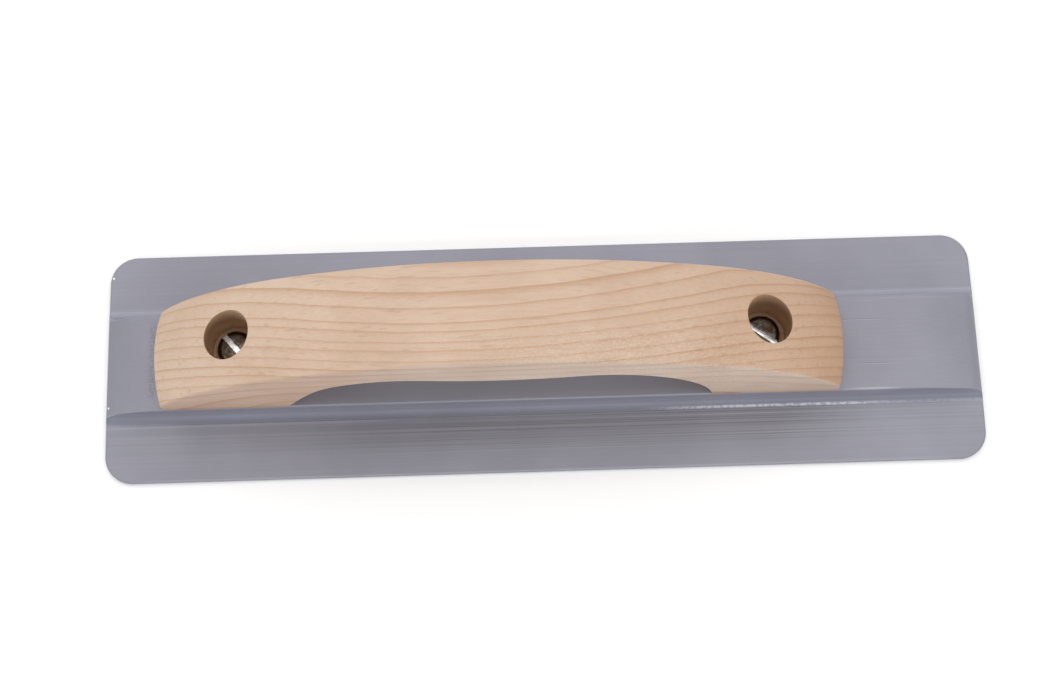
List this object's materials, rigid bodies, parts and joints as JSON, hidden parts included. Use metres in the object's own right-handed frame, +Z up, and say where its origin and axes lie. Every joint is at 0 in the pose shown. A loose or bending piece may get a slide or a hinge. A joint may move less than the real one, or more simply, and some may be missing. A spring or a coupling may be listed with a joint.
{
  "type": "hand float",
  "caption": "Concrete finisher's hand float: a flat rectangular magnesium blade with a raised central rib, and an arched wooden handle screwed down onto the rib.",
  "frame": {"origin": "centre of the blade's flat working face, which is the bottom of the object", "axes": "+X along the blade towards the end where more blade shows past the handle, +Y across the blade, +Z up from the working face towards the handle"},
  "size_m": [0.3048, 0.081, 0.0705],
  "materials": {
    "magnesium": "satin extruded magnesium, as drawn, with fine die lines",
    "wood": "sanded bare softwood",
    "plated_steel": "bright zinc plate"
  },
  "bodies": {
    "root": {"blade": "magnesium", "handle": "wood", "screw_left": "plated_steel", "screw_right": "plated_steel"}
  },
  "joints": []
}
